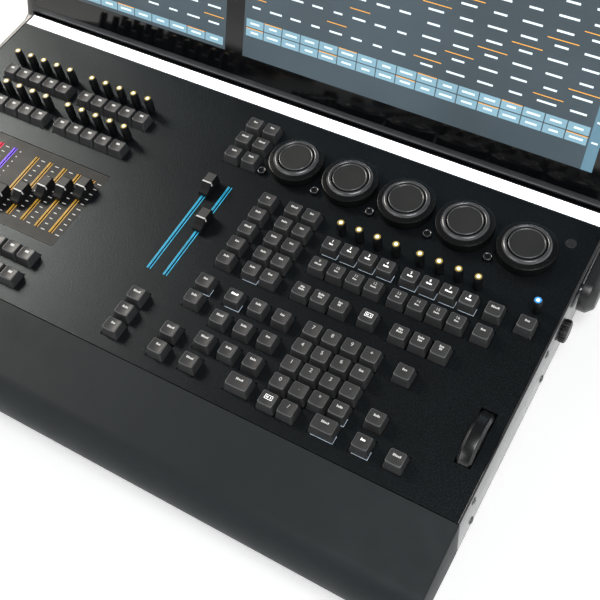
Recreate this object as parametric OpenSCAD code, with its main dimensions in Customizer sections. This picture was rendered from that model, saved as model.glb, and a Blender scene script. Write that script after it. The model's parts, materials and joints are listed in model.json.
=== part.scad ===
// Lighting control desk: a flat control deck with keys, faders, dual encoders and a level wheel,
// an armrest in front, and a tilting screen housing carried on two side arms.
// Deck places are written as [x, v]: x from the desk's middle, v back from the deck's front edge.

/* [Desk body] */
// Width over the two side panels
body_w = 636; // [634:1:640]
// Depth from the deck's front edge to the rear panel
body_d = 404; // [398:1:410]
// Height of the deck's top face above the table
deck_h = 70; // [68:1:84]
// Height of the side panels
side_h = 60; // [59:1:62]
// Thickness of the folded sheet
sheet_t = 2; // [1.5:0.1:2.5]
// Thickness of the deck plate
deck_t = 2.5; // [2:0.1:3]

/* [Armrest] */
// How far the armrest reaches in front of the deck
armrest_d = 77; // [70:1:85]
// Radius of its front nose
nose_r = 25; // [22:1:25]
// How far its top falls from the deck to the nose
armrest_drop = 8; // [4:1:10]
// Wall of the armrest moulding
armrest_wall = 3; // [2:0.5:4]

/* [Keys] */
// Side of a square keycap at its foot
cap_w = 16.2; // [15:0.1:16.4]
// Width that a keycap loses from foot to top
cap_taper = 3.8; // [3:0.1:5]
// Depth of a keycap's top face
cap_top_d = 10.8; // [9:0.1:12]
// Height of a keycap's top above the deck
cap_h = 8.2; // [7:0.1:9]
// Gap between a keycap and its cut-out
cap_gap = 0.5; // [0.4:0.1:0.8]
// Width of the two wide keys
wide_cap_w = 22; // [20:0.5:23]
// Spacing of the numeric keys
key_pitch = 17.5; // [17.2:0.1:18]

/* [Faders] */
// Travel of the two master faders
master_travel = 100; // [90:5:100]
// Travel of the executor faders
executor_travel = 60; // [45:5:60]
// Spacing of the executor columns
executor_pitch = 16.8; // [16.8:0.1:17]
// Width of a fader cap
fader_cap_w = 9.6; // [9:0.1:10]
// Length of a fader cap
fader_cap_l = 21; // [18:0.5:22]

/* [Encoders and wheel] */
// Spacing of the dual encoders
encoder_pitch = 55; // [54:0.5:56]
// Outside diameter of an encoder's outer ring
ring_d = 50.4; // [48:0.2:52]
// Height of the ring's lip above the deck
ring_h = 12.7; // [11:0.1:14]
// Radius of the level wheel
wheel_r = 32; // [31:0.5:33]
// Depth of the level wheel's axle under the deck
wheel_sink = 21.5; // [21:0.1:23]

/* [Screen] */
// Angle between the screen and the deck
screen_tilt = 68; // [62:1:74]
// Height of the screen housing along its face
screen_h = 244; // [236:1:250]
// Thickness of the screen housing
screen_t = 28; // [24:1:28]
// Thickness of the glass
glass_t = 3; // [2:0.5:3]
// Thickness of a side arm, bevel included
arm_t = 13.4; // [11:0.1:14]

/* [Hidden] */
$fn = 48;
foot_h = deck_h - side_h;
half_w = body_w / 2;
inner_w = body_w - 2 * sheet_t;
deck_gap = 0.3;
deck_w = inner_w - 2 * deck_gap;

// Light bar behind the encoders, and the lower ledge under the screen
bar_v = 287;
bar_d = 14;
ledge_v = bar_v + bar_d + 0.5;
ledge_z = -14;

// Screen housing: its lower front corner, and the pivot of its side arms
chin_v = 303;
chin_r = 4.5;
edge_r = 3;
pivot_v = 236.5;
pivot_z = -23;
pin_r = 6;
pin_l = 9;
running_gap = 0.05;
arm_x = half_w + 2;
arm_bevel = 5.7;
arm_front_v = 220;
arm_top_z = -6.4;
arm_h = 32.6;
arm_bar_end_v = 340;
arm_post_s = 150;
knob_v = 195;
knob_z = -24;
knob_r = 10;
knob_t = 6;

// Origin: middle of the footprint, on the table
rear_v = chin_v + (screen_h - edge_r) * cos(screen_tilt) + (screen_t - edge_r) * sin(screen_tilt) + edge_r;
front_y = (armrest_d - rear_v) / 2;

// Key stems, switches and circuit boards
cap_sink = 1;
cap_shift = 0.5;
join_pitch = 18.5;
stem_r = 2.5;
stem_end = -9;
switch_top = -5;
board_z = -14;
board_t = 1.6;

// Key blocks: [x, v, columns, rows, x pitch, v pitch, width]
numeric_blocks = [
    [148, 36.9, 4, 4, key_pitch, 17.4, cap_w],
    [148, 19.5, 2, 1, key_pitch, 0, cap_w],
    [197, 20.5, 1, 1, 0, 0, wide_cap_w],
    [229, 43, 1, 1, 0, 0, cap_w],
    [229, 21, 1, 1, 0, 0, cap_w],
    [257, 21, 1, 1, 0, 0, cap_w],
    [230, 87.5, 1, 1, 0, 0, cap_w],
];
x_blocks = [
    [120.6, 147, 4, 2, 17.3, 22.6, cap_w],
    [194.4, 147, 4, 2, 17.3, 22.6, cap_w],
    [268.4, 146.8, 1, 2, 0, 23, cap_w],
    [295.5, 169.4, 1, 1, 0, 0, cap_w],
    [120.6, 118.4, 3, 1, 17.8, 0, cap_w],
    [182, 119.5, 1, 1, 0, 0, cap_w],
    [210.8, 117.7, 3, 1, 17.8, 0, cap_w],
];
command_blocks = [
    [73.6, 42.3, 3, 3, 23, 23, cap_w],
    [119.6, 22, 1, 1, 0, 0, wide_cap_w],
    [73.4, 20.6, 1, 1, 0, 0, cap_w],
    [43.2, 19.6, 1, 2, 0, 18, cap_w],
    [43.2, 72.6, 1, 2, 0, 18, cap_w],
    [-2.5, 19.5, 1, 3, 0, 17.2, cap_w],
];
preset_blocks = [
    [46.3, 118, 1, 5, 0, 17.4, cap_w],
    [72.6, 118, 2, 5, key_pitch, 17.6, cap_w],
];
view_blocks = [[-11, 222, 2, 3, 18.2, 19, cap_w]];

// Executor area: two blocks of five columns, with keys in front of and behind the faders
executor_x = [-115.8, -210.5];
columns = 5;
executor_last = (columns - 1) * executor_pitch;
executor_key_rows = [21, 44.5, 182, 221];
executor_knob_rows = [198, 237];
executor_blocks = [
    for (x = executor_x, v = executor_key_rows)
        [x - executor_last, v, columns, 1, executor_pitch, 0, cap_w]
];
all_blocks = concat(numeric_blocks, x_blocks, command_blocks, preset_blocks, view_blocks, executor_blocks);

// Faders: places across the desk, middle of the travel, and where each cap stands
fader_x = [for (x = executor_x, i = [0:columns - 1]) x - i * executor_pitch];
fader_v = [126.8, 118.5, 111.6, 97.3, 87, 92, 84, 104, 96, 88];
fader_mid_v = 109.3;
master_x = [-11.8, 5.2];
master_v = [180.4, 144.4];
master_mid_v = 136.8;
slot_extra = 7;
slot_left = 2.9;
slot_right = 1.8;
slit_half = 0.7;
guide_gap = 0.1;
stem_w = 0.8;
stem_l = 6;
fader_stem_end = -9;
fader_box_w = 13;
fader_box_h = 14;
panel_gap = 0.5;
panel_drop = 0.4;
panel_v = [64.2, 152.7];
panel_x = [executor_x[1] - executor_last - 11, executor_x[0] + 11];

// Small rotary sticks behind the keys
stick_r = 4;
stick_gap = 1.4;
executor_stick_h = 18.3;
x_stick_h = 15.7;
stick_v = 188;
x_sticks = concat(
    [for (x = [120.6, 194.4], i = [0:3]) [x + 17.3 * i, stick_v]],
    [[296.7, stick_v - 0.3]]
);
executor_sticks = [for (x = fader_x, v = executor_knob_rows) [x, v]];

// Dual encoders, left to right, and the small round button beside each
encoder_v = 237.6;
encoder_x = [for (i = [0:4]) 47.2 + i * encoder_pitch];
dial_r = 15.9;
tube_r = 6;
shaft_r = 4;
button_shift = [-25.5, -20];
button_r = 4;
button_h = 3.4;

// Level wheel
wheel_x = 300.4;
wheel_v = 65.6;
wheel_w = 12.4;
wheel_slot = [13.4, 49.6];
wheel_relief = [13.4, 53.5];
relief_z = -0.8;
axle_r = 3;

// Rear panel
rear_z = [-side_h, ledge_z];
socket_z = -37;
xlr_x = [for (i = [0:5]) 250 - 34 * i];
net_x = [for (i = [0:2]) 36 - 34 * i];
usb_x = [-78, -102];
video_x = [-134, -164];
inlet_x = -262;
switch_x = -220;
flange = [26, 31];
rocker_depth = 3;
rocker_tilt = 7;
rocker_axle_r = 1.5;
rocker_axle_l = 15;

// Screws in the side panels: [v, z]
side_screws = [for (v = [24, 160, 280], z = [-10, -50]) [v, z]];

// ---- Shared helpers ----

// Points of an arc from angle a0 to a1
function arc(c, r, a0, a1, n = 12) =
    [for (i = [0:n]) let (a = a0 + (a1 - a0) * i / n) [c[0] + r * cos(a), c[1] + r * sin(a)]];

// Places of every key in a list of blocks, as [x, v, width]
function key_places(blocks) = [
    for (b = blocks, i = [0:b[2] - 1], j = [0:b[3] - 1]) [b[0] + i * b[4], b[1] + j * b[5], b[6]]
];

// Moves children to deck space: x, v and height over the deck
module on_deck(x = 0, v = 0, z = 0) translate([x, front_y + v, deck_h + z]) children();

// Moves children to the screen: x, height along the face, and distance out of the face
module on_screen() on_deck(0, chin_v) rotate([screen_tilt, 0, 0]) children();

// Extrudes an outline of [v, z] points along x
module along_x(w) rotate([90, 0, 90]) linear_extrude(w, center = true) children();

// Box between two corners
module span_box(low, high) translate(low) cube(high - low);

// Repeats children on the right and, mirrored, on the left
module both_sides() {
    children();
    mirror([1, 0, 0]) children();
}

// ---- Case ----

module base_pan() color("#2b2c2e") difference() {
    on_deck() {
        span_box([-inner_w / 2, 0, -side_h], [inner_w / 2, body_d - sheet_t, sheet_t - side_h]);
        span_box([-inner_w / 2, 0, -side_h], [inner_w / 2, sheet_t, -6]);
        both_sides() span_box([inner_w / 2 - sheet_t, 0, -side_h], [inner_w / 2, body_d - sheet_t, -34]);
    }
    both_sides() on_deck() for (v = [24, 160, 280])
        translate([half_w, v, -50]) rotate([0, 90, 0]) cylinder(r = 1.7, h = 20, center = true);
    // Cooling slots in the floor
    on_deck() for (x = [-220:12:-100])
        span_box([x, 240, -side_h - 1], [x + 5, 300, sheet_t - side_h + 1]);
}

module d_size_hole() rotate([90, 0, 0]) cylinder(r = 12, h = 10, center = true);

module rear_panel() color("#26272a") on_deck() difference() {
    span_box([-inner_w / 2, body_d - sheet_t, rear_z[0]], [inner_w / 2, body_d, rear_z[1]]);
    for (x = concat(xlr_x, net_x)) translate([x, body_d, socket_z]) d_size_hole();
    for (x = usb_x) translate([x, body_d, socket_z]) cube([16.4, 10, 18.4], center = true);
    for (x = video_x) translate([x, body_d, socket_z]) cube([20.4, 10, 9.4], center = true);
    translate([inlet_x, body_d, socket_z]) cube([32, 10, 24], center = true);
    translate([switch_x, body_d, socket_z]) cube([18, 10, 27], center = true);
}

module side_outline() polygon(concat(
    [[0, -side_h], [body_d, -side_h], [body_d, ledge_z]],
    arc([ledge_v + 4, ledge_z + 4], 4, 270, 180, 6),
    arc([ledge_v - 4, -4], 4, 0, 90, 6),
    [[0, 0]]
));

module side_panel() on_deck() difference() {
    translate([half_w - sheet_t / 2, 0, 0]) along_x(sheet_t) side_outline();
    translate([half_w, pivot_v, pivot_z]) rotate([0, 90, 0]) cylinder(r = pin_r + 0.1, h = 10, center = true);
    translate([half_w, knob_v, knob_z]) rotate([0, 90, 0]) cylinder(r = 3.05, h = 10, center = true);
    for (s = side_screws) translate([half_w, s[0], s[1]]) rotate([0, 90, 0]) {
        cylinder(r = 1.7, h = 10, center = true);
        cylinder(r = 3.6, h = 2.6, center = true);
    }
}

module side_panels() color("#34363a") both_sides() side_panel();

module side_screw() rotate([0, 90, 0]) difference() {
    union() {
        translate([0, 0, -1.25]) cylinder(r = 3.5, h = 1.2);
        translate([0, 0, -8]) cylinder(r = 1.5, h = 7);
    }
    translate([0, 0, -0.8]) cylinder(r = 1.4, h = 2, $fn = 6);
}

module case_screws() color("#5c5f63")
    both_sides() for (s = side_screws) on_deck(half_w, s[0], s[1]) side_screw();

module armrest_outline(inset) polygon(concat(
    [[-deck_gap - inset, -1 - inset]],
    arc([nose_r - armrest_d, -armrest_drop - nose_r], nose_r - inset, 90, 270, 24),
    [[-20, inset - side_h], [-deck_gap - inset, inset - side_h]]
));

module armrest() color("#3a3c40") on_deck() difference() {
    along_x(body_w) armrest_outline(0);
    along_x(body_w - 2 * armrest_wall) armrest_outline(armrest_wall);
}

module rubber_feet() color("#17181a")
    for (x = [-285, 0, 285], v = [24, 380]) on_deck(x, v, -deck_h) {
        cylinder(r1 = 13, r2 = 15, h = 2, $fn = 64);
        translate([0, 0, 2]) cylinder(r = 15, h = foot_h - 2, $fn = 64);
    }

module rear_top_cover() color("#202124") on_deck() difference() {
    union() {
        span_box([-inner_w / 2, ledge_v, ledge_z - sheet_t], [inner_w / 2, body_d - sheet_t, ledge_z]);
        span_box([-inner_w / 2, ledge_v, ledge_z], [inner_w / 2, ledge_v + sheet_t / 2, -1]);
    }
    for (x = [-280:14:280])
        span_box([x - 3, 368, ledge_z - 5], [x + 3, 392, ledge_z + 5]);
}

// ---- Deck ----

// Keys closer than join_pitch share one cut-out; the others have their own
function cut_starts(count, pitch) = pitch < join_pitch ? [0] : [for (i = [0:count - 1]) i * pitch];
function cut_reach(count, pitch) = pitch < join_pitch ? (count - 1) * pitch : 0;

module block_cutout(b)
    for (x = cut_starts(b[2], b[4]), v = cut_starts(b[3], b[5]))
        translate([b[0] + x - b[6] / 2 - cap_gap, b[1] + v - cap_w / 2 - cap_gap])
            square([cut_reach(b[2], b[4]) + b[6], cut_reach(b[3], b[5]) + cap_w] + 2 * [cap_gap, cap_gap]);

// Slot of a fader: the slit and the light guides beside it
module fader_slot(x, v, travel)
    translate([x - slot_left, v - travel / 2 - slot_extra / 2])
        square([slot_left + slot_right, travel + slot_extra]);

module deck_plate() color("#1d1e20") on_deck() difference() {
    union() {
        translate([-deck_w / 2, 0, -deck_t]) cube([deck_w, bar_v - deck_gap, deck_t]);
        both_sides() span_box([deck_w / 2 - sheet_t, 10, -14], [deck_w / 2, bar_v - deck_gap, -deck_t]);
    }
    translate([0, 0, -deck_t - 1]) linear_extrude(deck_t + 2) {
        for (b = all_blocks) block_cutout(b);
        for (i = [0, 1]) fader_slot(master_x[i], master_mid_v, master_travel);
        translate([panel_x[0], panel_v[0]]) square([panel_x[1] - panel_x[0], panel_v[1] - panel_v[0]]);
        for (s = concat(x_sticks, executor_sticks)) translate(s) circle(r = 3.1);
        for (x = encoder_x) {
            translate([x, encoder_v]) circle(r = tube_r + 1);
            translate([x, encoder_v] + button_shift) circle(r = button_r + 0.4);
        }
        translate([wheel_x, wheel_v]) square(wheel_slot, center = true);
    }
    // The slot is longer below, where the wheel is wider
    translate([wheel_x, wheel_v, -deck_t - 1]) linear_extrude(deck_t + 1 + relief_z)
        square(wheel_relief, center = true);
    both_sides() for (v = [24, 160, 280])
        translate([half_w, v, -10]) rotate([0, 90, 0]) cylinder(r = 1.7, h = 20, center = true);
}

module executor_fader_panel() color("#3b3d41") on_deck() difference() {
    span_box(
        [panel_x[0] + panel_gap, panel_v[0] + panel_gap, -deck_t],
        [panel_x[1] - panel_gap, panel_v[1] - panel_gap, -panel_drop]
    );
    translate([0, 0, -deck_t - 1]) linear_extrude(deck_t + 2)
        for (x = fader_x) fader_slot(x, fader_mid_v, executor_travel);
}

// The two light guides on either side of a fader's slit
module light_guides(x, v, travel, top) {
    run = travel + slot_extra - 2 * guide_gap;
    for (edge = [[-slot_left + guide_gap, -slit_half], [slit_half, slot_right - guide_gap]])
        span_box([x + edge[0], v - run / 2, -deck_t], [x + edge[1], v + run / 2, top]);
}

module fader_light_guides() color("#f2c14e") on_deck() {
    for (x = fader_x) light_guides(x, fader_mid_v, executor_travel, -panel_drop + 0.1);
    for (x = master_x) light_guides(x, master_mid_v, master_travel, 0.1);
}

module light_bar_channel() color("#8c9096") on_deck() difference() {
    span_box([-deck_w / 2, bar_v, -10], [deck_w / 2, bar_v + bar_d, -0.2]);
    span_box([-deck_w / 2 + 2, bar_v + 1, -8], [deck_w / 2 - 2, bar_v + bar_d - 1, 1]);
}

module light_bar_diffuser() color("white") on_deck()
    span_box([-deck_w / 2 + 2.2, bar_v + 1.2, -3], [deck_w / 2 - 2.2, bar_v + bar_d - 1.2, 0.4]);

// ---- Keys ----

// A hollow cap with four sloping sides and a round stem
module keycap(w) {
    difference() {
        intersection() {
            rotate([90, 0, 0]) linear_extrude(cap_w + 2, center = true) polygon([
                [-w / 2, -cap_sink], [w / 2, -cap_sink],
                [(w - cap_taper) / 2, cap_h], [-(w - cap_taper) / 2, cap_h],
            ]);
            along_x(w + 2) polygon([
                [-cap_w / 2, -cap_sink], [cap_w / 2, -cap_sink],
                [cap_top_d / 2 + cap_shift, cap_h], [-cap_top_d / 2 + cap_shift, cap_h],
            ]);
        }
        translate([0, cap_shift, 1 - cap_sink])
            cube([w - 5.6, cap_top_d - 1.6, 2 * cap_h - 5], center = true);
    }
    translate([0, 0, stem_end]) cylinder(r = stem_r, h = cap_h - 2 - stem_end, $fn = 24);
}

module key_set(blocks, tone) color(tone)
    for (k = key_places(blocks)) on_deck(k[0], k[1]) keycap(k[2]);

module numeric_keys() key_set(numeric_blocks, "#3e4044");
module x_keys() key_set(x_blocks, "#3e4044");
module command_keys() key_set(command_blocks, "#3e4044");
module preset_keys() key_set(preset_blocks, "#3e4044");
module view_keys() key_set(view_blocks, "#3e4044");
module executor_keys() key_set(executor_blocks, "#3e4044");

// Housing of one key switch or rotary stick, with a bore for its stem
module switch_housing(x, v, side, bore_r) on_deck(x, v, board_z) difference() {
    translate([-side / 2, -side / 2, 0]) cube([side, side, switch_top - board_z]);
    translate([0, 0, 1]) cylinder(r = bore_r, h = 20, $fn = 24);
}

module board(low, high)
    on_deck() span_box([low[0], low[1], board_z - board_t], [high[0], high[1], board_z]);

module key_circuit_boards() color("#1f5a38") {
    difference() {
        board([28, 8], [312, 200]);
        on_deck() span_box([284, 24, -20], [320, 108, 0]);
    }
    board([-14, 8], [27, 64]);
    board([-22, 211], [16.5, 272]);
    board([panel_x[0], 9], [panel_x[1], 56]);
    board([panel_x[0], 172], [panel_x[1], 246]);
    color("#2a2b2d") {
        for (k = key_places(all_blocks)) switch_housing(k[0], k[1], 13.8, stem_r + 0.5);
        for (s = concat(x_sticks, executor_sticks)) switch_housing(s[0], s[1], 9, 2.9);
    }
}

// ---- Rotary sticks and round buttons ----

module stick(h) {
    difference() {
        translate([0, 0, stick_gap]) cylinder(r = stick_r, h = h - stick_gap, $fn = 32);
        for (a = [0:45:315]) rotate(a) translate([stick_r + 0.5, 0, 0]) cylinder(r = 1, h = h - 4, $fn = 16);
    }
    translate([0, 0, -8]) cylinder(r = 2.5, h = 10, $fn = 24);
}

module x_knobs() color("#151617") for (s = x_sticks) on_deck(s[0], s[1]) stick(x_stick_h);
module executor_knobs() color("#151617")
    for (s = executor_sticks) on_deck(s[0], s[1]) stick(executor_stick_h);

module encoder_buttons() color("#1b1c1e")
    for (x = encoder_x) on_deck(x + button_shift[0], encoder_v + button_shift[1])
        rotate_extrude($fn = 40) polygon([
            [0, -6], [button_r, -6], [button_r, button_h - 0.5], [button_r - 0.5, button_h],
            [button_r - 1, button_h], [button_r - 1.6, button_h - 0.8], [0, button_h - 1],
        ]);

// ---- Dual encoders ----

module encoder_ring(i) color("#2d2e30") on_deck(encoder_x[i - 1], encoder_v)
    rotate_extrude($fn = 96) {
        r = ring_d / 2;
        lip = dial_r + 0.5;
        polygon([
            [shaft_r + running_gap, -12], [tube_r, -12], [tube_r, 0.8], [r - 0.8, 0.8], [r, 1.6],
            [r, ring_h - 4.1], [r - 0.5, ring_h - 3.4], [r - 1.4, ring_h - 3], [lip + 3.3, ring_h - 2.2],
            [lip + 0.5, ring_h - 0.1], [lip + 0.2, ring_h], [lip, ring_h - 0.3],
            [lip, ring_h - 7], [shaft_r + running_gap, ring_h - 7],
        ]);
    }

module encoder_dial(i) color("#3a3b3d") on_deck(encoder_x[i - 1], encoder_v)
    rotate_extrude($fn = 96) polygon([
        [0, -14], [shaft_r, -14], [shaft_r, ring_h - 6.5], [dial_r - 0.3, ring_h - 6.5],
        [dial_r, ring_h - 6.2], [dial_r, ring_h - 0.5], [dial_r - 0.3, ring_h - 0.2],
        [dial_r - 0.8, ring_h - 0.2], [dial_r - 1.1, ring_h - 0.6], [0, ring_h - 1],
    ]);

module encoder_modules() color("#6d7176") {
    on_deck() span_box([18, 206, -20.6], [304, 266, -19]);
    for (x = encoder_x) {
        on_deck(x, encoder_v) difference() {
            translate([-15, -15, -19]) cube([30, 30, 16]);
            translate([0, 0, -12.5]) cylinder(r = tube_r + running_gap, h = 20);
            translate([0, 0, -16]) cylinder(r = shaft_r + running_gap, h = 20);
        }
        on_deck(x + button_shift[0], encoder_v + button_shift[1], -19)
            translate([-4, -4, 0]) cube([8, 8, 11]);
    }
}

// ---- Level wheel ----

module level_wheel() color("#0d0e0f") on_deck(wheel_x, wheel_v, -wheel_sink) rotate([0, 90, 0]) {
    rotate_extrude($fn = 128) {
        translate([0, -wheel_w / 2]) square([wheel_r - 2, wheel_w]);
        translate([0, 2 - wheel_w / 2]) square([wheel_r, wheel_w - 4]);
        for (s = [-1, 1]) translate([wheel_r - 2, s * (wheel_w / 2 - 2)]) circle(r = 2, $fn = 32);
    }
    cylinder(r = axle_r, h = wheel_w + 8, center = true);
}

module wheel_bracket() color("#6d7176") on_deck(wheel_x, wheel_v) difference() {
    union() for (s = [-1, 1])
        translate([s * (wheel_w / 2 + 2.5) - 1.5, -14, -wheel_sink - 10])
            cube([3, 28, wheel_sink + 10 - deck_t]);
    translate([0, 0, -wheel_sink]) rotate([0, 90, 0])
        cylinder(r = axle_r + running_gap, h = 40, center = true);
}

// ---- Faders ----

// Side outline of a fader cap: a low toe in front, a middle ridge and a falling back
module fader_cap_outline() {
    half = fader_cap_l / 2;
    polygon(concat(
        [[-half, 1.2], [half, 1.2], [half, 8.6], [half - 0.6, 9.2]],
        arc([half - 5, 17.2], 8, 285, 248, 5),
        [[1, 10.9]],
        arc([-6, 13.4], 7, 332, 270, 6),
        [[0.6 - half, 6.4], [-half, 5.8]]
    ));
}

module fader(x, v) on_deck(x, v) {
    along_x(fader_cap_w) fader_cap_outline();
    span_box([-stem_w / 2, -stem_l / 2, fader_stem_end], [stem_w / 2, stem_l / 2, 1.2]);
}

module master_fader_a() color("#2c2d30") fader(master_x[0], master_v[0]);
module master_fader_b() color("#2c2d30") fader(master_x[1], master_v[1]);
module executor_fader(i) color("#2c2d30") fader(fader_x[i - 1], fader_v[i - 1]);

// Motorised fader under the deck: a long box with an open channel for the stem
module fader_mechanism(x, v, travel) on_deck(x, v) difference() {
    translate([-fader_box_w / 2, -travel / 2 - 15, -fader_box_h - 3])
        cube([fader_box_w, travel + 30, fader_box_h]);
    translate([-2, -travel / 2 - 5, -10.5]) cube([4, travel + 10, 20]);
}

module fader_mechanisms() color("#8a8e93") {
    for (x = fader_x) fader_mechanism(x, fader_mid_v, executor_travel);
    for (x = master_x) fader_mechanism(x, master_mid_v, master_travel);
}

// ---- Inside the case ----

module computer_board() color("#1f4a5a") on_deck() {
    span_box([-60, 250, -50], [220, 376, -48]);
    span_box([0, 290, -48], [70, 360, -30]);
    span_box([110, 280, -48], [200, 286, -28]);
    span_box([110, 296, -48], [200, 302, -28]);
    for (x = [-50, 210], v = [258, 368]) translate([x, v, sheet_t - side_h]) cylinder(r = 4, h = 8);
}

module power_supply() color("#9ea2a6") on_deck()
    difference() {
        span_box([-306, 240, sheet_t - side_h], [-226, 370, -22]);
        for (v = [260:10:350]) span_box([-310, v, -50], [-304, v + 5, -30]);
    }

// ---- Rear connectors ----

// Square flange on the rear panel, with its round body behind it
module d_size_body() {
    translate([-flange[0] / 2, 0, -flange[1] / 2]) cube([flange[0], 2, flange[1]]);
    rotate([90, 0, 0]) cylinder(r = 11.6, h = 24);
}

module xlr_socket() difference() {
    d_size_body();
    rotate([90, 0, 0]) translate([0, 0, -3]) difference() {
        cylinder(r = 10, h = 5);
        cylinder(r = 8, h = 5);
    }
    for (a = [90, 210, 330])
        rotate([90, 0, 0]) translate([5 * cos(a), 5 * sin(a), -3]) cylinder(r = 1.4, h = 14);
}

// A connector block with rectangular openings, each [x, z, width, height]
module open_block(body, openings, depth) difference() {
    translate([-body[0] / 2, -18, -body[1] / 2]) cube([body[0], 20, body[1]]);
    for (o = openings)
        translate([o[0] - o[2] / 2, 2 - depth, o[1] - o[3] / 2]) cube([o[2], depth + 1, o[3]]);
}

module network_socket() difference() {
    d_size_body();
    translate([-6.5, -11, -4.5]) cube([13, 14, 9]);
}

module rear_connectors() color("#1a1b1d") {
    for (x = xlr_x) on_deck(x, body_d, socket_z) xlr_socket();
    for (x = net_x) on_deck(x, body_d, socket_z) network_socket();
    for (x = usb_x) on_deck(x, body_d, socket_z)
        open_block([16, 18], [[0, -4.4, 13, 5.4], [0, 4.4, 13, 5.4]], 14);
    for (x = video_x) on_deck(x, body_d, socket_z) open_block([20, 9], [[0, 0, 17, 5.6]], 12);
}

module power_inlet() color("#1a1b1d") {
    on_deck(inlet_x, body_d, socket_z) {
        difference() {
            union() {
                translate([-24, 0, -14]) cube([48, 3, 28]);
                translate([-15.5, -24, -11.5]) cube([31, 25, 23]);
            }
            translate([-13.6, -18, -9.6]) cube([27.2, 30, 19.2]);
        }
        for (p = [[-7, -2], [7, -2], [0, 4]]) translate([p[0] - 1, -18.5, p[1] - 2]) cube([2, 13, 4]);
    }
    // Frame of the power switch
    on_deck(switch_x, body_d, socket_z) difference() {
        union() {
            translate([-11, 0, -15]) cube([22, 2, 30]);
            translate([-8.7, -14, -13.2]) cube([17.4, 15, 26.4]);
        }
        translate([-6.5, -12, -11.2]) cube([13, 20, 22.4]);
        translate([0, -rocker_depth, 0]) rotate([0, 90, 0])
            cylinder(r = rocker_axle_r + running_gap, h = rocker_axle_l + 0.4, center = true);
    }
}

// Rocker of the power switch on its axle, resting with its lower end pressed in
module power_switch() color("#101112") on_deck(switch_x, body_d - rocker_depth, socket_z) {
    rotate([rocker_tilt, 0, 0])
        along_x(12) polygon([[-4, -6], [-4, 6], [1, 10], [4.4, 10], [3, 0], [4.4, -10], [1, -10]]);
    rotate([0, 90, 0]) cylinder(r = rocker_axle_r, h = rocker_axle_l, center = true);
}

// ---- Screen ----

// Side outline of the screen housing: face along the first axis, depth below the second
module shell_outline() {
    translate([0, edge_r - screen_t]) square([screen_h, screen_t - chin_r - edge_r]);
    translate([chin_r, -chin_r]) square([screen_h - chin_r - edge_r, chin_r]);
    translate([edge_r, -screen_t]) square([screen_h - 2 * edge_r, edge_r]);
    translate([chin_r, -chin_r]) circle(r = chin_r);
    translate([screen_h - edge_r, -chin_r]) square([edge_r, chin_r - edge_r]);
    translate([screen_h - edge_r, -edge_r]) circle(r = edge_r);
    for (s = [edge_r, screen_h - edge_r]) translate([s, edge_r - screen_t]) circle(r = edge_r);
}

module screen_shell() color("#232427") on_screen() difference() {
    along_x(2 * arm_x) shell_outline();
    // Recess for the glass, and the hollow behind it
    span_box([-arm_x + 5, 9, -glass_t - 0.2], [arm_x - 5, screen_h - 5, 1]);
    span_box([-arm_x + 8, 12, 3 - screen_t], [arm_x - 8, screen_h - 8, 0]);
    // Cooling slots through the back
    for (x = [-150:10:150])
        span_box([x - 2.5, screen_h - 60, -screen_t - 1], [x + 2.5, screen_h - 30, 4 - screen_t]);
}

module screen_glass() color("#0a0b0d") on_screen()
    span_box([-arm_x + 5.3, 9.3, -glass_t], [arm_x - 5.3, screen_h - 5.3, 0]);

main_display = [[-55, 31], [289.5, 225]];
side_display = [[-291, 31], [-75, 166]];

module display_panels() color("#7fa6b8") on_screen()
    for (d = [main_display, side_display])
        span_box([d[0][0] - 4, d[0][1] - 6, -13], [d[1][0] + 4, d[1][1] + 4, -glass_t - 0.2]);

// Side arm: a bar beside the desk and a post up the end of the screen housing, both bevelled outside
module arm_length(y0, y1, low, high) {
    bevel = arm_x + arm_t - arm_bevel;
    outer = arm_x + arm_t;
    translate([0, y1, 0]) rotate([90, 0, 0]) linear_extrude(y1 - y0) polygon([
        [arm_x, low], [bevel, low], [outer, low + arm_bevel],
        [outer, high - arm_bevel], [bevel, high], [arm_x, high],
    ]);
}

module side_arm() {
    r = arm_h / 2;
    on_deck() difference() {
        intersection() {
            arm_length(arm_front_v, arm_bar_end_v, arm_top_z - arm_h, arm_top_z);
            along_x(2 * (arm_x + arm_t)) union() {
                translate([arm_front_v + r, arm_top_z - r]) circle(r = r);
                translate([arm_front_v + r, arm_top_z - arm_h])
                    square([arm_bar_end_v - arm_front_v - r, arm_h]);
            }
        }
        translate([arm_x - 1, pivot_v, pivot_z]) rotate([0, 90, 0])
            cylinder(r = pin_r + running_gap, h = pin_l + 1.6);
    }
    on_screen() arm_length(-14, arm_post_s, -screen_t, -2);
}

module screen_arms() color("#3d3f44") both_sides() side_arm();

// Pivot pins: a washer inside each side panel, and the journal that carries the arm
module screen_pivot_pins() color("#a7abb0") both_sides()
    on_deck(half_w - sheet_t, pivot_v, pivot_z) rotate([0, 90, 0]) {
        translate([0, 0, -5]) cylinder(r = 8, h = 5);
        cylinder(r = pin_r, h = arm_x - half_w + sheet_t + pin_l);
    }

module lock_knob() on_deck(half_w, knob_v, knob_z) rotate([0, 90, 0]) {
    difference() {
        translate([0, 0, 0.4]) cylinder(r = knob_r, h = knob_t, $fn = 72);
        for (a = [0:15:345]) rotate(a) translate([knob_r + 0.5, 0, -1])
            cylinder(r = 1, h = knob_t - 0.6, $fn = 16);
    }
    translate([0, 0, -12]) cylinder(r = 3, h = 13);
}

module right_lock_knob() color("#1c1d1f") lock_knob();
module left_lock_knob() color("#1c1d1f") mirror([1, 0, 0]) lock_knob();

// ---- Parts ----

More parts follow.
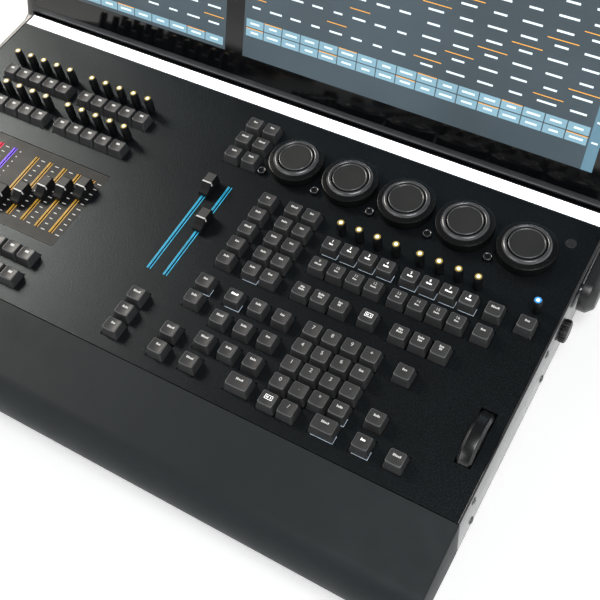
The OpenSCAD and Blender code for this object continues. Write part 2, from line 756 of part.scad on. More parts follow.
base_pan();
rear_panel();
side_panels();
deck_plate();
armrest();
executor_fader_panel();
light_bar_channel();
light_bar_diffuser();
rear_top_cover();
key_circuit_boards();
fader_mechanisms();
fader_light_guides();
encoder_modules();
wheel_bracket();
computer_board();
power_supply();
rear_connectors();
power_inlet();
rubber_feet();
case_screws();
screen_pivot_pins();
screen_shell();
screen_glass();
display_panels();
screen_arms();
left_lock_knob();
right_lock_knob();
level_wheel();
master_fader_a();
master_fader_b();
numeric_keys();
x_keys();
command_keys();
preset_keys();
view_keys();
executor_keys();
encoder_buttons();
x_knobs();
executor_knobs();
power_switch();
for (i = [1:5]) {
    encoder_ring(i);
    encoder_dial(i);
}
for (i = [1:10]) {
    executor_fader(i);
}
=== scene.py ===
"""Looks of the lighting control desk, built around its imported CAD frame.

Shapes are made in millimetres. Desk pieces use deck space: x across, v back from the deck's front edge,
z above the deck's top face. Screen pieces use screen space: x across, s up the glass, and o out of it.
"""

import json
import math

import bmesh
import bpy
from mathutils import Matrix, Vector

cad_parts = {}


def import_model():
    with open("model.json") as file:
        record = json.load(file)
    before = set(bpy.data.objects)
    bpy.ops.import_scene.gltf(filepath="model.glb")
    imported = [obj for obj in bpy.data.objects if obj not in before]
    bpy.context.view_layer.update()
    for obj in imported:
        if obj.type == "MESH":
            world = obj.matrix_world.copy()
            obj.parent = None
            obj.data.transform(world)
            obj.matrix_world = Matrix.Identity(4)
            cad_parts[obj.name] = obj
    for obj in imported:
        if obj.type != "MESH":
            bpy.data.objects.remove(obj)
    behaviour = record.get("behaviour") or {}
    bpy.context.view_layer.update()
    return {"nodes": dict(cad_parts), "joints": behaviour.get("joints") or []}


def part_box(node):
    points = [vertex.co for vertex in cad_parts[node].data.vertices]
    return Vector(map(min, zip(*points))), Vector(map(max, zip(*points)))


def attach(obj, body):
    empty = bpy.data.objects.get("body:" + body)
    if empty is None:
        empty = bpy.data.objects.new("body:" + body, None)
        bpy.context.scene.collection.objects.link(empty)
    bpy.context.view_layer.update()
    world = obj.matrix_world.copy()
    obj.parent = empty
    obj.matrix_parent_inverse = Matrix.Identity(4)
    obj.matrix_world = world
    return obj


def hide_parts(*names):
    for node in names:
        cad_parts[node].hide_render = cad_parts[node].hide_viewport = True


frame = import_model()

MM = 0.001
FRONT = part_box("deck_plate")[0].y
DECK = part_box("deck_plate")[1].z
TO_DECK = Matrix.Translation((0, FRONT, DECK)) @ Matrix.Scale(MM, 4)
FROM_DECK = TO_DECK.inverted()

FOLD = next(j for j in frame["joints"] if j["name"] == "screen_fold")
TILT = math.radians(180 - FOLD["range_deg"][1])


# ---------------------------------------------------------------- places

def node_points(node):
    """Vertices of a CAD node in deck space."""
    return [FROM_DECK @ v.co for v in frame["nodes"][node].data.vertices]


def span(points):
    """Lowest and highest corner of some points."""
    points = list(points)
    low = Vector([min(p[k] for p in points) for k in range(3)])
    high = Vector([max(p[k] for p in points) for k in range(3)])
    return low, high


def node_span(node):
    """Box of a CAD node in deck space."""
    return span(node_points(node))


def solids(node, into=FROM_DECK):
    """Box of each separate solid of a CAD node, in deck space or another one."""
    mesh = bmesh.new()
    mesh.from_mesh(frame["nodes"][node].data)
    bmesh.ops.remove_doubles(mesh, verts=mesh.verts, dist=1e-6)
    unseen = set(mesh.verts)
    boxes = []
    while unseen:
        found = []
        edge = [unseen.pop()]
        while edge:
            vert = edge.pop()
            found.append(into @ vert.co)
            for link in vert.link_edges:
                other = link.other_vert(vert)
                if other in unseen:
                    unseen.remove(other)
                    edge.append(other)
        boxes.append(span(found))
    mesh.free()
    return boxes


def rows_of(boxes, step=5.0):
    """Boxes sorted into rows from front to back, each row from left to right."""
    rows = []
    for box in sorted(boxes, key=lambda b: b[0].y):
        if rows and box[0].y - rows[-1][0][0].y < step:
            rows[-1].append(box)
        else:
            rows.append([box])
    return [sorted(row, key=lambda b: b[0].x) for row in rows]


def middle(box):
    """Centre of a box, at deck height."""
    return Vector(((box[0].x + box[1].x) / 2, (box[0].y + box[1].y) / 2, 0))


def at(x, v, z=0.0):
    """Placement at a point of deck space."""
    return Matrix.Translation((x, v, z))


def screen_space():
    """Placement whose origin is the middle of the glass's lower edge, and the glass's height."""
    along = Vector((0, math.cos(TILT), math.sin(TILT)))
    outward = Vector((0, -math.sin(TILT), math.cos(TILT)))
    points = node_points("screen_glass")
    foot = min(p.dot(along) for p in points)
    height = max(p.dot(along) for p in points) - foot
    face = max(p.dot(outward) for p in points)
    origin = along * foot + outward * face
    turn = Matrix((Vector((1, 0, 0)), along, outward)).transposed().to_4x4()
    return Matrix.Translation(origin) @ turn, height


SCREEN, GLASS_H = screen_space()
GLASS_W = node_span("screen_glass")[1].x


# ---------------------------------------------------------------- mesh helpers

class Piece:
    """Collects closed shapes, in deck space, and makes them one Blender object."""

    def __init__(self):
        self.points = []
        self.faces = []
        self.looks = []

    def add(self, shape, place=Matrix(), look=0):
        """Adds a shape at a placement; look is the place of its material in make's list."""
        points, faces = shape
        start = len(self.points)
        self.points += [place @ Vector(p) for p in points]
        self.faces += [[start + i for i in face] for face in faces]
        self.looks += [look] * len(faces)

    def make(self, name, materials, body, node=None, slot=None, crease=35):
        """Makes the object, rides it on a body and replaces a CAD node by it where one is given."""
        mesh = bpy.data.meshes.new(name)
        mesh.from_pydata([TO_DECK @ p for p in self.points], [], self.faces)
        for material in materials:
            mesh.materials.append(material)
        mesh.polygons.foreach_set("material_index", self.looks)
        work = bmesh.new()
        work.from_mesh(mesh)
        bmesh.ops.recalc_face_normals(work, faces=work.faces)
        work.to_mesh(mesh)
        work.free()
        mesh.polygons.foreach_set("use_smooth", [True] * len(mesh.polygons))
        mesh.set_sharp_from_angle(angle=math.radians(crease))
        made = bpy.data.objects.new(name, mesh)
        bpy.context.scene.collection.objects.link(made)
        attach(made, body)
        if node:
            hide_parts(node)
        return made


def loft(loops, closed=False):
    """Skin over loops of equal length; open ends get a flat face."""
    points = [p for loop in loops for p in loop]
    n = len(loops[0])
    pairs = list(zip(range(len(loops)), range(1, len(loops))))
    if closed:
        pairs.append((len(loops) - 1, 0))
    faces = [
        [a * n + i, a * n + (i + 1) % n, b * n + (i + 1) % n, b * n + i]
        for a, b in pairs
        for i in range(n)
    ]
    if not closed:
        faces.append(list(range(n))[::-1])
        faces.append([(len(loops) - 1) * n + i for i in range(n)])
    return points, faces


def lathe(profile, steps=64, closed=False):
    """Turned shape from (radius, height) points; a radius of 0 is a pole."""
    points = []
    rows = []
    for radius, height in profile:
        count = steps if radius else 1
        rows.append(range(len(points), len(points) + count))
        for i in range(count):
            angle = 2 * math.pi * i / steps
            points.append((radius * math.cos(angle), radius * math.sin(angle), height))
    pairs = list(zip(rows, rows[1:]))
    if closed:
        pairs.append((rows[-1], rows[0]))
    faces = []
    for low, high in pairs:
        for i in range(steps):
            j = (i + 1) % steps
            corners = [low[i % len(low)], low[j % len(low)], high[j % len(high)], high[i % len(high)]]
            faces.append(list(dict.fromkeys(corners)))
    return points, faces


def arc(centre, radius, start, end, steps=8):
    """Points of an arc between two angles in degrees."""
    found = []
    for i in range(steps + 1):
        angle = math.radians(start + (end - start) * i / steps)
        found.append((centre[0] + radius * math.cos(angle), centre[1] + radius * math.sin(angle)))
    return found


def rounded_rectangle(width, depth, radius, steps=4, cuts=1):
    """Anticlockwise outline with round corners, about the origin; cuts divides the two sides along x."""
    x, y = width / 2 - radius, depth / 2 - radius
    corners = [((x, y), 0), ((-x, y), 90), ((-x, -y), 180), ((x, -y), 270)]
    outline = []
    for number, (centre, start) in enumerate(corners):
        outline += arc(centre, radius, start, start + 90, steps)
        if number % 2 == 0:
            side = 1 if number == 0 else -1
            outline += [(side * (x - 2 * x * k / cuts), side * depth / 2) for k in range(1, cuts)]
    return outline


def inset(outline, amount):
    """Anticlockwise outline moved inwards by an amount."""
    moved = []
    for before, here, after in zip(outline[-1:] + outline[:-1], outline, outline[1:] + outline[:1]):
        a = (Vector(here) - Vector(before)).normalized()
        b = (Vector(after) - Vector(here)).normalized()
        normal_a, normal_b = Vector((-a.y, a.x)), Vector((-b.y, b.x))
        shift = (normal_a + normal_b) * amount / (1 + normal_a.dot(normal_b))
        moved.append(tuple(Vector(here) + shift))
    return moved


def rounded_ends(low, high, radius, steps=3):
    """Sections (place, inset) of an extrusion with round edges at both ends."""
    start = []
    for i in range(steps + 1):
        angle = math.radians(90 * i / steps)
        start.append((radius * (1 - math.cos(angle)), radius * (1 - math.sin(angle))))
    first = [(low + place, amount) for place, amount in start]
    last = [(high - place, amount) for place, amount in reversed(start)]
    return first + last


def extrude_x(outline, sections):
    """Outline of (v, z) points carried along x through sections of (x, inset)."""
    return loft([[(x, p[0], p[1]) for p in inset(outline, amount)] for x, amount in sections])


def extrude_z(outline, sections):
    """Outline of (x, v) points carried up through sections of (z, inset)."""
    return loft([[(p[0], p[1], z) for p in inset(outline, amount)] for z, amount in sections])


def fluted(radius, flutes, steps, sections):
    """Upright stick or knob skinned through sections of (height, inset, depth of its flutes)."""
    turns = [2 * math.pi * i / (flutes * steps) for i in range(flutes * steps)]
    loops = []
    for z, shrink, cut in sections:
        reach = [radius - shrink - cut * (0.5 - 0.5 * math.cos(flutes * turn)) for turn in turns]
        loops.append([(r * math.cos(turn), r * math.sin(turn), z) for r, turn in zip(reach, turns)])
    return loft(loops)


def block(low, high, edge=0.0):
    """Box between two corners, with softened upright and top edges."""
    width, depth = high[0] - low[0], high[1] - low[1]
    shift = Vector(((low[0] + high[0]) / 2, (low[1] + high[1]) / 2, 0))
    if edge:
        outline = rounded_rectangle(width, depth, edge, 3)
        sections = rounded_ends(low[2], high[2], edge * 0.6, 2)
    else:
        x, y = width / 2, depth / 2
        outline = [(x, y), (-x, y), (-x, -y), (x, -y)]
        sections = [(low[2], 0), (high[2], 0)]
    points, faces = extrude_z(outline, sections)
    return [Vector(p) + shift for p in points], faces


# ---------------------------------------------------------------- materials

def add_node(tree, kind, inputs=None, **settings):
    """New shader node with its settings and its input values or links."""
    made = tree.nodes.new(kind)
    for name, value in settings.items():
        setattr(made, name, value)
    for name, value in (inputs or {}).items():
        if isinstance(value, bpy.types.NodeSocket):
            tree.links.new(value, made.inputs[name])
        else:
            made.inputs[name].default_value = value
    return made


def remap(tree, value, low, high, start=0.3, end=0.7):
    """Noise value spread between two numbers."""
    return add_node(tree, "ShaderNodeMapRange", {
        "Value": value, "From Min": start, "From Max": end, "To Min": low, "To Max": high,
    }).outputs["Result"]


def noise(tree, where, size, detail=2.0, roughness=0.5):
    """Noise whose blotches measure about a size in millimetres."""
    return add_node(tree, "ShaderNodeTexNoise", {
        "Vector": where, "Scale": 1 / (size * MM), "Detail": detail, "Roughness": roughness,
    }).outputs["Fac"]


def surface(
    name, color, rough, grain=0.5, depth=0.03, mottle=0.12, smudge=0.05, edge=0.0, glint_fleck=0.0, **shader
):
    """Painted or moulded surface: mottled colour, fine grain, smudged gloss, and paler edges that are a
    painted highlight.

    grain is the size and depth the height of its texture, both in millimetres; fleck brightens sparse specks
    in the colour, which are the grain's own specks and partly painted glints of its sheen.
    """
    material = bpy.data.materials.new(name)
    material.use_nodes = True
    tree = material.node_tree
    bsdf = tree.nodes["Principled BSDF"]
    where = add_node(tree, "ShaderNodeTexCoord").outputs["Object"]
    blotch = remap(tree, noise(tree, where, 55, 3), 1 - mottle, 1 + mottle)
    speck = remap(tree, noise(tree, where, grain * 1.6, 2, 0.7), 1 - mottle, 1 + mottle)
    tone = add_node(tree, "ShaderNodeMath", {0: blotch, 1: speck}, operation="MULTIPLY").outputs[0]
    # edge paints a highlight into the colour where the mesh is pointy, along its sharp edges.
    if edge:
        ridge = add_node(tree, "ShaderNodeNewGeometry").outputs["Pointiness"]
        painted_edge_light = remap(tree, ridge, 0.0, edge, 0.52, 0.60)
        tone = add_node(tree, "ShaderNodeMath", {0: tone, 1: painted_edge_light}, operation="ADD").outputs[0]
    # Sparse brighter specks: the grain's own specks, and partly painted glints of the sheen on it.
    if glint_fleck:
        glint_spots = remap(tree, noise(tree, where, grain, 1, 0.5), 0.0, glint_fleck, 0.48, 0.66)
        tone = add_node(tree, "ShaderNodeMath", {0: tone, 1: glint_spots}, operation="ADD").outputs[0]
    base = add_node(tree, "ShaderNodeVectorMath", {0: color[:3], "Scale": tone}, operation="SCALE")
    tree.links.new(base.outputs[0], bsdf.inputs["Base Color"])
    gloss = remap(tree, noise(tree, where, 22, 5, 0.6), rough - smudge, rough + smudge)
    tree.links.new(gloss, bsdf.inputs["Roughness"])
    relief = noise(tree, where, grain, 2, 0.6)
    bump = add_node(tree, "ShaderNodeBump", {"Height": relief, "Distance": depth * MM, "Strength": 1.0})
    tree.links.new(bump.outputs["Normal"], bsdf.inputs["Normal"])
    for socket, value in shader.items():
        bsdf.inputs[socket.replace("_", " ")].default_value = value
    return material


def lamp(name, color, strength, ripple=0.12, size=6):
    """Lit plastic whose brightness ripples a little along its length."""
    material = bpy.data.materials.new(name)
    material.use_nodes = True
    tree = material.node_tree
    bsdf = tree.nodes["Principled BSDF"]
    where = add_node(tree, "ShaderNodeTexCoord").outputs["Object"]
    wave = remap(tree, noise(tree, where, size, 2), strength * (1 - ripple), strength * (1 + ripple))
    bsdf.inputs["Base Color"].default_value = (*color, 1)
    bsdf.inputs["Emission Color"].default_value = (*color, 1)
    bsdf.inputs["Roughness"].default_value = 0.35
    tree.links.new(wave, bsdf.inputs["Emission Strength"])
    return material


def brushed_metal(name, color, rough, stretch=(1, 40, 40)):
    """Metal with fine lines drawn along one direction."""
    material = surface(name, color, rough, grain=0.4, depth=0.0, mottle=0.05, Metallic=1.0)
    tree = material.node_tree
    bsdf = tree.nodes["Principled BSDF"]
    where = add_node(tree, "ShaderNodeTexCoord").outputs["Object"]
    drawn = add_node(tree, "ShaderNodeMapping", {"Vector": where, "Scale": stretch}).outputs[0]
    lines = noise(tree, drawn, 12, 4, 0.7)
    bump = add_node(tree, "ShaderNodeBump", {"Height": lines, "Distance": 0.02 * MM, "Strength": 1.0})
    tree.links.new(bump.outputs["Normal"], bsdf.inputs["Normal"])
    return material


# The deck's flecks are partly painted glints of its sheen.
deck_paint = surface(
    "deck_paint", (0.0024, 0.0028, 0.0034), 0.34, grain=1.15, depth=0.20, mottle=0.2, smudge=0.01, glint_fleck=3.0,
    Specular_IOR_Level=0.42, Specular_Tint=(0.80, 0.94, 1.0, 1))
# The case paint's edge setting paints a highlight along its sharp edges.
case_paint = surface("case_paint", (0.010, 0.010, 0.0115), 0.36, grain=0.8, depth=0.02, edge=0.6)
armrest_paint = surface(
    "armrest_paint", (0.0155, 0.0178, 0.0195), 0.58, grain=0.7, depth=0.03, mottle=0.08,
    Specular_IOR_Level=0.34, Specular_Tint=(0.86, 0.96, 1.0, 1))
panel_paint = surface(
    "panel_paint", (0.009, 0.0092, 0.0095), 0.48, grain=0.6, depth=0.02, Specular_IOR_Level=0.36)
# The arm paint's and housing plastic's edge settings paint a highlight along their sharp edges.
arm_paint = surface("arm_paint", (0.026, 0.0265, 0.028), 0.32, grain=0.7, depth=0.02, edge=0.8)
housing_plastic = surface("housing_plastic", (0.008, 0.0085, 0.0095), 0.34, grain=0.6, depth=0.003, edge=0.5)
edge_paint = surface(
    "edge_paint", (0.040, 0.041, 0.044), 0.30, grain=0.8, depth=0.0, smudge=0.04,
    Coat_Weight=0.6, Coat_Roughness=0.22)
key_plastic = surface("key_plastic", (0.041, 0.0415, 0.043), 0.46, grain=0.6, depth=0.02, mottle=0.16)
# Paler copy of the key plastic for the band round each cap's top edge: a painted highlight.
key_edge_highlight = surface("key_edge_highlight", (0.13, 0.132, 0.138), 0.34, grain=0.6, depth=0.01, mottle=0.2)
fader_plastic = surface(
    "fader_plastic", (0.010, 0.0102, 0.011), 0.50, grain=0.4, depth=0.012, Specular_IOR_Level=0.2)
# Paler colour laid on the flat top of each fader cap: a painted highlight.
fader_top_highlight = surface("fader_top_highlight", (0.060, 0.060, 0.060), 0.60, grain=0.5, depth=0.02)
knob_plastic = surface("knob_plastic", (0.004, 0.004, 0.0045), 0.34, grain=0.5, depth=0.01)
ring_plastic = surface("ring_plastic", (0.0045, 0.0046, 0.0050), 0.26, grain=0.4, depth=0.004, mottle=0.06)
# Paler, metallic copy of the ring plastic for lips and hoops: it catches reflections and partly paints their
# highlight.
bevel_highlight_plastic = surface(
    "bevel_highlight_plastic", (0.15, 0.15, 0.155), 0.30, depth=0.0, mottle=0.02, smudge=0.01, Metallic=0.7)
# Darker, duller copy of the ring plastic for the encoder walls: painted shade.
wall_shade_plastic = surface(
    "wall_shade_plastic", (0.004, 0.004, 0.0042), 0.55, grain=0.4, depth=0.004, Specular_IOR_Level=0.2)
dial_plastic = surface("dial_plastic", (0.022, 0.022, 0.022), 0.50, grain=0.35, depth=0.008, mottle=0.05)
wheel_plastic = surface(
    "wheel_plastic", (0.006, 0.0063, 0.007), 0.24, grain=8, depth=0.0, mottle=0.02, smudge=0.02,
    Specular_IOR_Level=0.75, Coat_Weight=0.2, Coat_Roughness=0.12)
socket_plastic = surface("socket_plastic", (0.018, 0.018, 0.019), 0.40, grain=0.5, depth=0.015)
foot_rubber = surface("foot_rubber", (0.016, 0.016, 0.016), 0.75, grain=1.0, depth=0.06)
switch_plastic = surface("switch_plastic", (0.006, 0.006, 0.0065), 0.45, grain=0.5, depth=0.01)
board_green = surface("board_green", (0.015, 0.075, 0.035), 0.35, grain=0.8, depth=0.01, mottle=0.2)
# White print that also glows faintly though it is no lamp: painted light on the legends, marks and fader
# lines.
legend_white_glow = surface(
    "legend_white_glow", (0.62, 0.62, 0.61), 0.5, grain=0.4, depth=0.004, mottle=0.06,
    Emission_Color=(1, 1, 1, 1), Emission_Strength=0.16)
screen_glass = surface(
    "screen_glass", (0.0022, 0.0024, 0.0028), 0.07, grain=8, depth=0.0, mottle=0.1, smudge=0.02)
tongue_blue = surface("tongue_blue", (0.02, 0.10, 0.40), 0.4, grain=0.5, depth=0.005)
strip_slot = surface("strip_slot", (0.003, 0.003, 0.003), 0.5, grain=0.5, depth=0.01)
zinc = brushed_metal("zinc", (0.50, 0.51, 0.52), 0.38)
gold = brushed_metal("gold", (0.80, 0.60, 0.25), 0.28)
screw_black = brushed_metal("screw_black", (0.10, 0.10, 0.105), 0.42)
aluminium = brushed_metal("aluminium", (0.62, 0.63, 0.65), 0.34, (1, 60, 60))

bar_light = lamp("bar_light", (0.95, 0.97, 1.0), 2.6, 0.03, 40)
legend_lit = lamp("legend_lit", (0.95, 0.96, 0.95), 1.0)
glow_white = lamp("glow_white", (0.62, 0.74, 0.86), 0.42, 0.5, 4)
led_yellow = lamp("led_yellow", (1.0, 0.98, 0.72), 1.6)
led_yellow_rim = lamp("led_yellow_rim", (0.36, 0.27, 0.07), 0.30)
led_blue = lamp("led_blue", (0.62, 0.88, 1.0), 1.6)
led_blue_rim = lamp("led_blue_rim", (0.05, 0.26, 0.62), 0.8)
strip_gold = lamp("strip_gold", (0.44, 0.25, 0.035), 0.62, 0.5, 5)
strip_gold_bright = lamp("strip_gold_bright", (0.82, 0.53, 0.09), 0.85, 0.4, 5)
strip_purple = lamp("strip_purple", (0.16, 0.07, 0.68), 1.0, 0.25, 5)
strip_red = lamp("strip_red", (0.72, 0.02, 0.07), 1.0, 0.25, 5)
strip_blue = lamp("strip_blue", (0.02, 0.25, 0.39), 1.0, 0.35, 8)
strip_blue_bright = lamp("strip_blue_bright", (0.16, 0.68, 0.90), 1.1, 0.2, 8)
gui_slate = lamp("gui_slate", (0.040, 0.058, 0.070), 0.85, 0.35, 120)
gui_blue = lamp("gui_blue", (0.085, 0.17, 0.225), 0.9, 0.12, 60)
gui_pale = lamp("gui_pale", (0.17, 0.30, 0.37), 0.95, 0.12, 60)
gui_orange = lamp("gui_orange", (0.78, 0.36, 0.05), 0.9, 0.10, 20)
gui_white = lamp("gui_white", (0.60, 0.68, 0.72), 0.9, 0.10, 20)


# ---------------------------------------------------------------- key legends

PRINT = 0.08
GLYPHS = {}
LETTER_WIDTHS = (1.1, 0.9, 1.3, 0.8, 1.0, 1.2, 0.9)


def glyph(character, height):
    """Raised digit or sign as a closed shape, centred on the origin."""
    curve = bpy.data.curves.new("glyph", "FONT")
    curve.body = character
    curve.size = height * 1.35
    curve.align_x = "CENTER"
    curve.align_y = "CENTER"
    curve.extrude = PRINT
    curve.resolution_u = 3
    holder = bpy.data.objects.new("glyph", curve)
    mesh = holder.to_mesh()
    points = [tuple(v.co) for v in mesh.vertices]
    faces = [list(p.vertices) for p in mesh.polygons]
    holder.to_mesh_clear()
    bpy.data.objects.remove(holder)
    bpy.data.curves.remove(curve)
    return points, faces


def glyph_of(character, height):
    """Glyph, made once for each character and height."""
    if (character, height) not in GLYPHS:
        GLYPHS[character, height] = glyph(character, height)
    return GLYPHS[character, height]


def bar(x0, y0, x1, y1):
    """Thin flat block of print."""
    return block((x0, y0, -PRINT), (x1, y1, PRINT))


def word(count, start, height=1.9, gap=0.32):
    """Row of small blocks that stands for a word, without being one."""
    widths = [LETTER_WIDTHS[(start + k) % len(LETTER_WIDTHS)] for k in range(count)]
    x = -(sum(widths) + gap * (count - 1)) / 2
    shapes = []
    for k, width in enumerate(widths):
        rise = height if k == 0 or (start + k) % 3 == 0 else height * 0.74
        shapes.append(bar(x, -height / 2, x + width, rise - height / 2))
        x += width + gap
    return shapes


def legend_shapes(code, seed):
    """Shapes of a key's legend on its top face, as (shape, shift back) pairs.

    w is a word, d two words, # a framed word, e one block, a number after n has a small word under it,
    and anything else is a glyph.
    """
    kind = code[0].lower()
    if kind == "w":
        return [(s, 1.7) for s in word(3 + seed % 3, seed)]
    if kind == "d":
        return [(s, 2.7) for s in word(3 + seed % 2, seed)] + [(s, 0.2) for s in word(2 + seed % 3, seed + 2)]
    if kind == "#":
        frame_bars = [bar(-3.4, -1.9, 3.4, -1.55), bar(-3.4, 1.55, 3.4, 1.9)]
        frame_bars += [bar(-3.4, -1.55, -3.05, 1.55), bar(3.05, -1.55, 3.4, 1.55)]
        letters = [bar(x, -0.8, x + 0.7, 0.8) for x in (-2.2, -1.0, 1.3)]
        return [(shape, 1.2) for shape in frame_bars + letters]
    if kind == "e":
        return [(bar(-1.9, -1.1, 1.9, 1.1), 1.6)]
    if kind == "n":
        return [(glyph_of(code[1:], 2.7), 2.6)] + [(s, -0.5) for s in word(3 + seed % 3, seed, 1.5, 0.25)]
    return [(glyph_of(code, 3.6), 1.6)]


# ---------------------------------------------------------------- keys

CAP_DISH = 0.7
CAP_TAPER = 3.2
CAP_LOW = -1.0
CAP_TOP_DEPTH = 11.6
CAP_SHIFT = 0.5


def cap_top(x, half, height):
    """Height of the dished top at a distance from the cap's middle."""
    return height - CAP_DISH * (1 - min(1.0, abs(x) / half) ** 2)


def keycap(width, depth, height):
    """Cap with four sloping sides and a top dished from side to side, and a paler band round its top edge
    that is a painted highlight.
    """
    top_w = width - CAP_TAPER

    def ring(share, shrink, radius, drop):
        w = width + (top_w - width) * share - 2 * shrink
        d = depth + (CAP_TOP_DEPTH - depth) * share - 2 * shrink
        outline = rounded_rectangle(w, d, radius, 4, 8)
        loop = []
        for x, y in outline:
            flat = CAP_LOW + (height - CAP_LOW) * share
            dish = (height - cap_top(x, top_w / 2, height)) * share ** 4
            loop.append((x, y + CAP_SHIFT * share, flat - dish - drop))
        return loop

    loops = [ring(0, 0.25, 1.0, 0), ring(0, 0, 1.2, -0.3)]
    loops += [ring(share, 0, 1.2 + 0.4 * share, 0) for share in (0.25, 0.5, 0.72, 0.88)]
    loops += [ring(0.96, 0.05, 1.6, 0), ring(1, 0.22, 1.6, 0.12), ring(1, 0.65, 1.5, 0)]
    loops += [ring(1, shrink, 0.4, 0) for shrink in (1.4, 2.4, 3.4, 4.4, 4.95)]
    # Band round the top edge, which carries the painted highlight.
    edge = [ring(0.93, 0.08, 1.6, 0), ring(0.95, -0.03, 1.6, -0.02), ring(1, 0.16, 1.6, 0.04)]
    edge += [ring(1, 0.42, 1.5, -0.04), ring(0.97, 0.6, 1.5, 0.3)]
    return loft(loops), loft(edge, closed=True)


def key_stem(height):
    """Round stem under a cap."""
    return lathe([(0, -9), (2.3, -9), (2.5, -8.7), (2.5, height - 2.5), (0, height - 2.5)], 16)


def on_top(shape, back, half, height, place):
    """Legend shape laid on a cap's dished top."""
    points, faces = shape
    laid = [Vector((p[0], p[1] + back, p[2] + cap_top(p[0], half, height))) for p in points]
    return [place @ p for p in laid], faces


def key_field(name, node, legends):
    """Replaces one CAD key node by detailed caps; legends name each row's keys from front to back.

    A capital letter is a bright legend, and a ! at the end asks for a line of light beside the key.
    """
    piece = Piece()
    lit = []
    for number, row in enumerate(rows_of(solids(node))):
        codes = legends[number].split() if number < len(legends) else []
        codes += ["w"] * (len(row) - len(codes))
        for box, code in zip(row, codes):
            centre = middle(box)
            width, height = box[1].x - box[0].x, box[1].z
            place = at(centre.x, centre.y)
            cap, edge = keycap(width, box[1].y - box[0].y, height)
            piece.add(cap, place)
            # The band round the top edge takes the paler plastic, a painted highlight.
            piece.add(edge, place, 3)
            piece.add(key_stem(height), place)
            if code.endswith("!"):
                lit.append(box)
            bright = code[0] in "#WDN"
            seed = int(centre.x * 3 + centre.y * 5) % 97
            for shape, back in legend_shapes(code.rstrip("!"), seed):
                laid = on_top(shape, back + CAP_SHIFT, (width - CAP_TAPER) / 2, height, place)
                piece.add(laid, look=2 if bright else 1)
    piece.make(name, [key_plastic, legend_white_glow, legend_lit, key_edge_highlight], node, node, "keycap")
    return lit


LEGENDS = {
    "numeric_keys": ["# / w! W! w", "0 . * w!", "w", "1 2 3 -", "4 5 6 w", "7 8 9 + w"],
    "x_keys": ["d d d # d d d", "n9 n10 n11 n12 n13 n14 n15 n16 w", "N1! N2! N3! N4! N5! N6! N7! N8! w w"],
    "command_keys": ["w w w w", "w w", "w w w", "w", "w w w", "w", "w! W! w w"],
    "preset_keys": ["w w! w"],
    "view_keys": ["w"],
    "executor_keys": ["e " * 10] * 4,
}


def key_glow(boxes):
    """Thin line of light in the gap in front of each lit key, and along part of its right side."""
    piece = Piece()
    for low, high in boxes:
        for a, b in (
            ((low.x + 3.0, low.y - 0.26), (high.x + 0.22, low.y - 0.08)),
            ((high.x + 0.06, low.y - 0.08), (high.x + 0.22, low.y + 7.0)),
        ):
            piece.add(block((*a, -0.9), (*b, -0.1)))
    piece.make("key_glow", [glow_white], "chassis", slot="diffuser")


lit_keys = []
for key_node, key_rows in LEGENDS.items():
    lit_keys += key_field(key_node + "_caps", key_node, key_rows)
key_glow(lit_keys)


# ---------------------------------------------------------------- sticks and round buttons

def stick(height):
    """Fluted stick whose head is smooth."""
    neck = height - 2.6
    sections = [(1.3, 0.35, 0.28), (1.6, 0, 0.28), (neck, 0, 0.28), (neck + 0.4, 0.35, 0)]
    return fluted(4.0, 14, 4, sections + [(height - 0.5, 0.4, 0), (height, 0.8, 0)])


def stick_field(name, node, blue_from=None):
    """Replaces a node of rotary sticks, each with a lit top: a bright core in a dimmer ring."""
    piece = Piece()
    for low, high in solids(node):
        centre = middle((low, high))
        place = at(centre.x, centre.y)
        blue = blue_from is not None and centre.x > blue_from
        top = high.z
        piece.add(stick(top), place)
        piece.add(lathe([(0, low.z), (2.5, low.z), (2.5, 1.7), (0, 1.7)], 20), place)
        rim = [(1.5, top - 0.6), (2.9, top - 0.6), (2.9, top + 0.02), (1.5, top + 0.06)]
        core = [(0, top - 0.6), (1.45, top - 0.6), (1.45, top + 0.15), (1.1, top + 0.38), (0, top + 0.42)]
        piece.add(lathe(rim, 24, closed=True), place, 4 if blue else 3)
        piece.add(lathe(core, 24), place, 2 if blue else 1)
    looks = [knob_plastic, led_yellow, led_blue, led_yellow_rim, led_blue_rim]
    piece.make(name, looks, node, node, "knob_plastic")


stick_field("x_knob_sticks", "x_knobs", blue_from=node_span("x_knobs")[1].x - 10)
stick_field("executor_knob_sticks", "executor_knobs")


def encoder_buttons():
    """Small round buttons with a raised rim in a paler metallic plastic, partly a painted highlight."""
    piece = Piece()
    for low, high in solids("encoder_buttons"):
        centre = middle((low, high))
        r, h = (high.x - low.x) / 2, high.z
        body = [(0, low.z), (r, low.z), (r, h - 0.7), (r - 0.15, h - 0.3), (r - 0.5, h - 0.05)]
        rim = [(r - 0.75, h), (r - 1.1, h - 0.1), (r - 1.5, h - 0.6), (r - 2.4, h - 0.85), (0, h - 0.95)]
        hoop = [(r - 1.25, h - 0.5), (r - 0.3, h - 0.5), (r - 0.35, h - 0.1)]
        hoop += [(r - 0.8, h + 0.05), (r - 1.2, h - 0.15)]
        piece.add(lathe(body + rim, 48), at(centre.x, centre.y))
        # The rim's hoop takes the paler metallic plastic, partly a painted highlight.
        piece.add(lathe(hoop, 48, closed=True), at(centre.x, centre.y), 1)
    looks = [ring_plastic, bevel_highlight_plastic]
    piece.make("encoder_button_caps", looks, "encoder_buttons", "encoder_buttons", "dial_plastic")


encoder_buttons()


# ---------------------------------------------------------------- encoders

